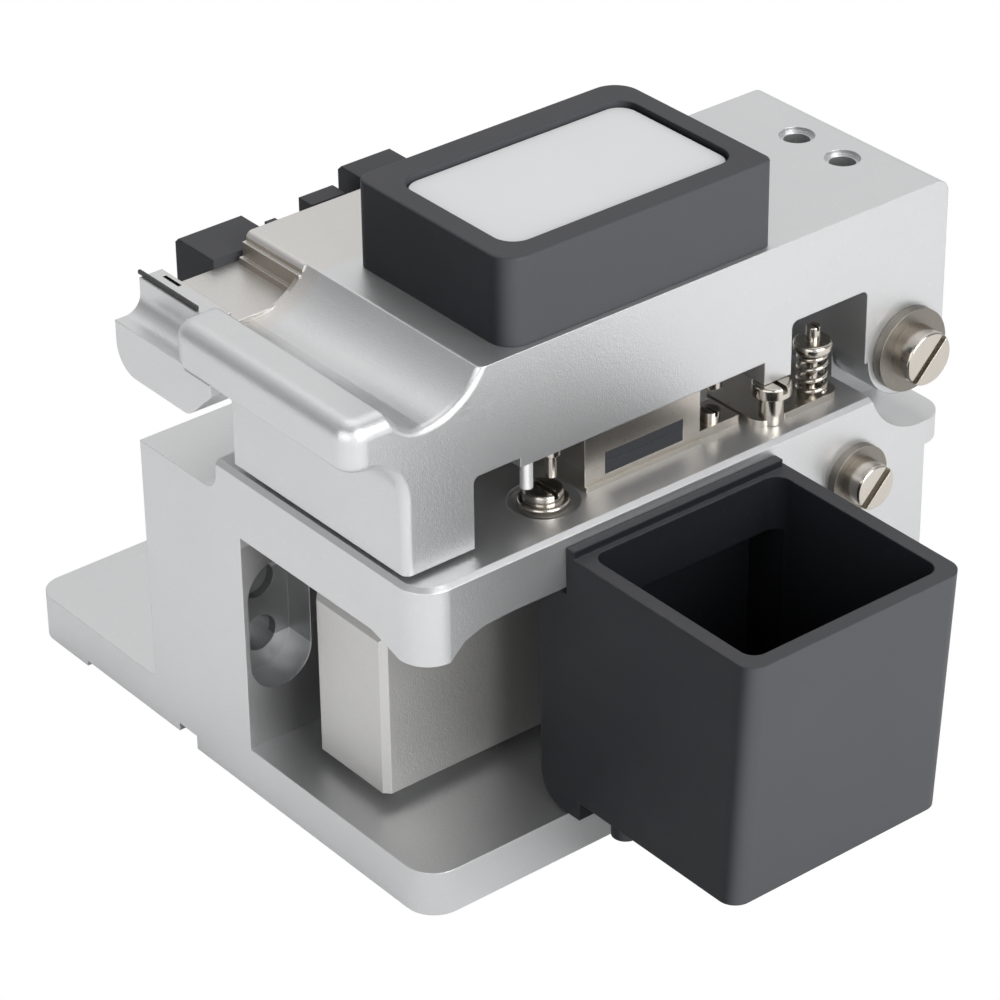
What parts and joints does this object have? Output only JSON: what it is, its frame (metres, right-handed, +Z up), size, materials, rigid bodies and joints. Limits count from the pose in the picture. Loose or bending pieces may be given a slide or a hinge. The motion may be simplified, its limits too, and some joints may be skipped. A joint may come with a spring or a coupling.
{
  "type": "fibre cleaver",
  "caption": "Bench fibre cleaver: hinged lid with finger lip and cover box, sliding blade wheel, fibre clamps and a pull-off scrap bin.",
  "frame": {"origin": "centre of the footprint on the plane the rubber feet stand on", "axes": "+Z up, -Y to the front (finger lip), +X to the scrap bin"},
  "size_m": [0.0892, 0.0708, 0.063],
  "materials": {
    "blasted_aluminium": "fine bead-blasted, clear anodised",
    "nickel_steel": "nickel plated, polished",
    "tool_steel": "ground",
    "spring_steel": "bright wire",
    "black_plastic": "satin moulded",
    "black_anodised": "black anodised",
    "black_rubber": "moulded",
    "label_card": "smooth, bare",
    "carbide": "ground edge"
  },
  "bodies": {
    "base": {"base_body": "blasted_aluminium", "rubber_feet": "black_rubber", "hinge_screws": "nickel_steel", "hinge_washers": "nickel_steel", "side_screw": "nickel_steel", "side_washer": "nickel_steel", "lower_clamp_right": "nickel_steel", "lower_clamp_left": "nickel_steel", "lower_pads": "black_rubber", "adjusting_screws": "nickel_steel", "lower_clamp_screws": "nickel_steel", "stop_plate": "nickel_steel", "stop_screw": "nickel_steel", "lift_spring": "spring_steel", "slide_rail": "tool_steel", "rail_screws": "tool_steel", "fibre_adapter": "black_plastic", "adapter_screws": "nickel_steel"},
    "plunger": {"lift_plunger": "nickel_steel"},
    "lid": {"lid_body": "blasted_aluminium", "edge_strip": "black_anodised", "cover_box": "black_plastic", "label_plate": "label_card", "guide_screws": "nickel_steel", "clamp_springs_right": "spring_steel", "clamp_springs_left": "spring_steel", "anvil_spring": "spring_steel", "clamp_bracket": "black_plastic", "flap_pin": "nickel_steel", "guide_pin": "nickel_steel"},
    "right_clamp": {"upper_clamp_right": "nickel_steel", "upper_pad_right": "black_rubber"},
    "left_clamp": {"upper_clamp_left": "nickel_steel", "upper_pad_left": "black_rubber"},
    "anvil": {"anvil": "tool_steel"},
    "flap": {"clamp_flap": "black_plastic", "flap_pad": "black_rubber"},
    "slider": {"slider_block": "blasted_aluminium", "slide_carriage": "tool_steel", "axle_screw": "nickel_steel"},
    "wheel": {"blade_wheel": "carbide"},
    "bin": {"scrap_bin": "black_plastic", "bin_pegs": "nickel_steel", "bin_catch": "black_plastic"}
  },
  "joints": [
    {"name": "lid_hinge", "type": "hinge", "parent": "base", "child": "lid", "pos_m": [0.00305, 0.03053, 0.0378], "axis": [-1, 0, 0], "range_deg": [0, 88]},
    {"name": "lift_press", "type": "slide", "parent": "base", "child": "plunger", "axis": [0, 0, -1], "range_m": [0, 0.0015], "stiffness_N_per_m": 400, "springref_m": -0.001, "deforming": ["lift_spring"]},
    {"name": "right_clamp_lift", "type": "slide", "parent": "lid", "child": "right_clamp", "axis": [0, 0, 1], "range_m": [0, 0.001], "stiffness_N_per_m": 600, "springref_m": -0.002, "deforming": ["clamp_springs_right"]},
    {"name": "left_clamp_lift", "type": "slide", "parent": "lid", "child": "left_clamp", "axis": [0, 0, 1], "range_m": [0, 0.001], "stiffness_N_per_m": 600, "springref_m": -0.002, "deforming": ["clamp_springs_left"]},
    {"name": "anvil_lift", "type": "slide", "parent": "lid", "child": "anvil", "axis": [0, 0, 1], "range_m": [0, 0.0015], "stiffness_N_per_m": 500, "springref_m": -0.002, "deforming": ["anvil_spring"]},
    {"name": "flap_swing", "type": "hinge", "parent": "lid", "child": "flap", "pos_m": [-0.02045, -0.01172, 0.0486], "axis": [0, 1, 0], "range_deg": [0, 65]},
    {"name": "slider_travel", "type": "slide", "parent": "base", "child": "slider", "axis": [0, 1, 0], "range_m": [0, 0.017]},
    {"name": "wheel_turn", "type": "hinge", "parent": "slider", "child": "wheel", "pos_m": [0.00305, -0.01507, 0.028], "axis": [1, 0, 0], "continuous": true},
    {"name": "bin_pull", "type": "slide", "parent": "base", "child": "bin", "axis": [1, 0, 0], "range_m": [0, 0.03]}
  ]
}
